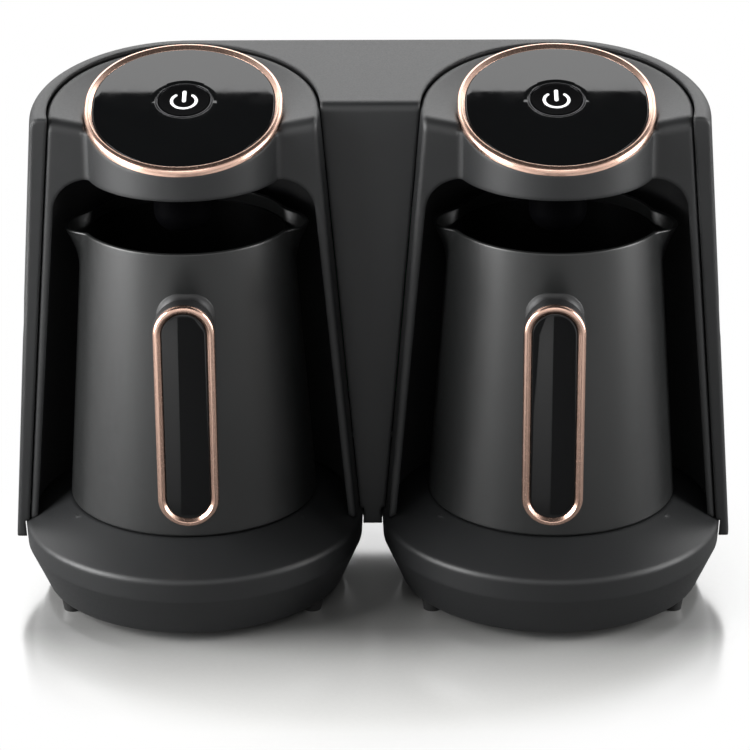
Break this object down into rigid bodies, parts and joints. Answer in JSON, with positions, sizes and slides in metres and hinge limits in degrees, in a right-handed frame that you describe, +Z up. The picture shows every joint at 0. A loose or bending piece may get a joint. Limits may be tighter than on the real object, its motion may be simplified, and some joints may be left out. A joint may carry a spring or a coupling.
{
  "type": "electric turkish coffee maker",
  "caption": "Electric Turkish coffee maker: side-by-side pots with bar handles stand in round bays under slanted heads with power buttons, in one black housing.",
  "frame": {"origin": "on the table under the middle of the overall box: between the two pots across the width, halfway between the handle fronts and the back of the housing's foot", "axes": "+X to the viewer's right along the row of pots, +Y away from the viewer through the back wall, +Z up"},
  "size_m": [0.3, 0.148, 0.2239],
  "materials": {
    "housing_black": "fine satin moulded texture",
    "bay_black": "matte",
    "sensor_smoke": "smoked, half gloss",
    "rose_gold": "satin, rose gold anodised",
    "gloss_black": "high gloss",
    "bezel_grey": "polished",
    "connector_nylon": "moulded",
    "board_green": "solder mask",
    "contact_brass": "bright",
    "pot_charcoal": "satin",
    "liner_steel": "dark brushed",
    "heater_aluminium": "cast, machined",
    "screw_steel": "zinc plated",
    "zinc_plate": "zinc plated sheet",
    "gland_rubber": "soft",
    "foot_rubber": "soft"
  },
  "bodies": {
    "machine": {"base_connector_left": "connector_nylon", "base_connector_right": "connector_nylon", "base_shell_left": "housing_black", "base_shell_right": "housing_black", "bay_liner_left": "bay_black", "bay_liner_right": "bay_black", "board_screws": "screw_steel", "bottom_plate_left": "bay_black", "bottom_plate_right": "bay_black", "bottom_screws": "screw_steel", "button_bezel_left": "bezel_grey", "button_bezel_right": "bezel_grey", "centre_floor": "bay_black", "contact_pins_left": "contact_brass", "contact_pins_right": "contact_brass", "control_board_left": "board_green", "control_board_right": "board_green", "control_panel_left": "gloss_black", "control_panel_right": "gloss_black", "cord_gland": "gland_rubber", "fascia_left": "housing_black", "fascia_right": "housing_black", "floor_screws": "screw_steel", "foam_sensor_left": "sensor_smoke", "foam_sensor_right": "sensor_smoke", "head_underside_left": "bay_black", "head_underside_right": "bay_black", "power_board": "board_green", "rear_housing": "housing_black", "rubber_feet": "foot_rubber", "switch_body_left": "connector_nylon", "switch_body_right": "connector_nylon", "tie_plate": "zinc_plate", "tie_screws": "screw_steel", "trim_ring_left": "rose_gold", "trim_ring_right": "rose_gold"},
    "left_button": {"button_cap_left": "gloss_black", "switch_plunger_left": "connector_nylon"},
    "right_button": {"button_cap_right": "gloss_black", "switch_plunger_right": "connector_nylon"},
    "left_pot": {"contact_rings_left": "contact_brass", "handle_core_left": "pot_charcoal", "handle_inlay_left": "gloss_black", "handle_screws_left": "screw_steel", "handle_trim_left": "rose_gold", "pot_bottom_left": "bay_black", "pot_connector_left": "connector_nylon", "pot_heater_left": "heater_aluminium", "pot_liner_left": "liner_steel", "pot_shell_left": "pot_charcoal"},
    "right_pot": {"contact_rings_right": "contact_brass", "handle_core_right": "pot_charcoal", "handle_inlay_right": "gloss_black", "handle_screws_right": "screw_steel", "handle_trim_right": "rose_gold", "pot_bottom_right": "bay_black", "pot_connector_right": "connector_nylon", "pot_heater_right": "heater_aluminium", "pot_liner_right": "liner_steel", "pot_shell_right": "pot_charcoal"}
  },
  "joints": [
    {"name": "left_button_press", "type": "slide", "parent": "machine", "child": "left_button", "axis": [0, 0.3289, -0.9444], "range_m": [0, 0.001], "stiffness_N_per_m": 800, "springref_m": -0.001},
    {"name": "right_button_press", "type": "slide", "parent": "machine", "child": "right_button", "axis": [0, 0.3289, -0.9444], "range_m": [0, 0.001], "stiffness_N_per_m": 800, "springref_m": -0.001},
    {"name": "left_pot_draw", "type": "slide", "parent": "machine", "child": "left_pot", "axis": [0, -0.9994, 0.0349], "range_m": [0, 0.15]},
    {"name": "right_pot_draw", "type": "slide", "parent": "machine", "child": "right_pot", "axis": [0, -0.9994, 0.0349], "range_m": [0, 0.15]}
  ]
}
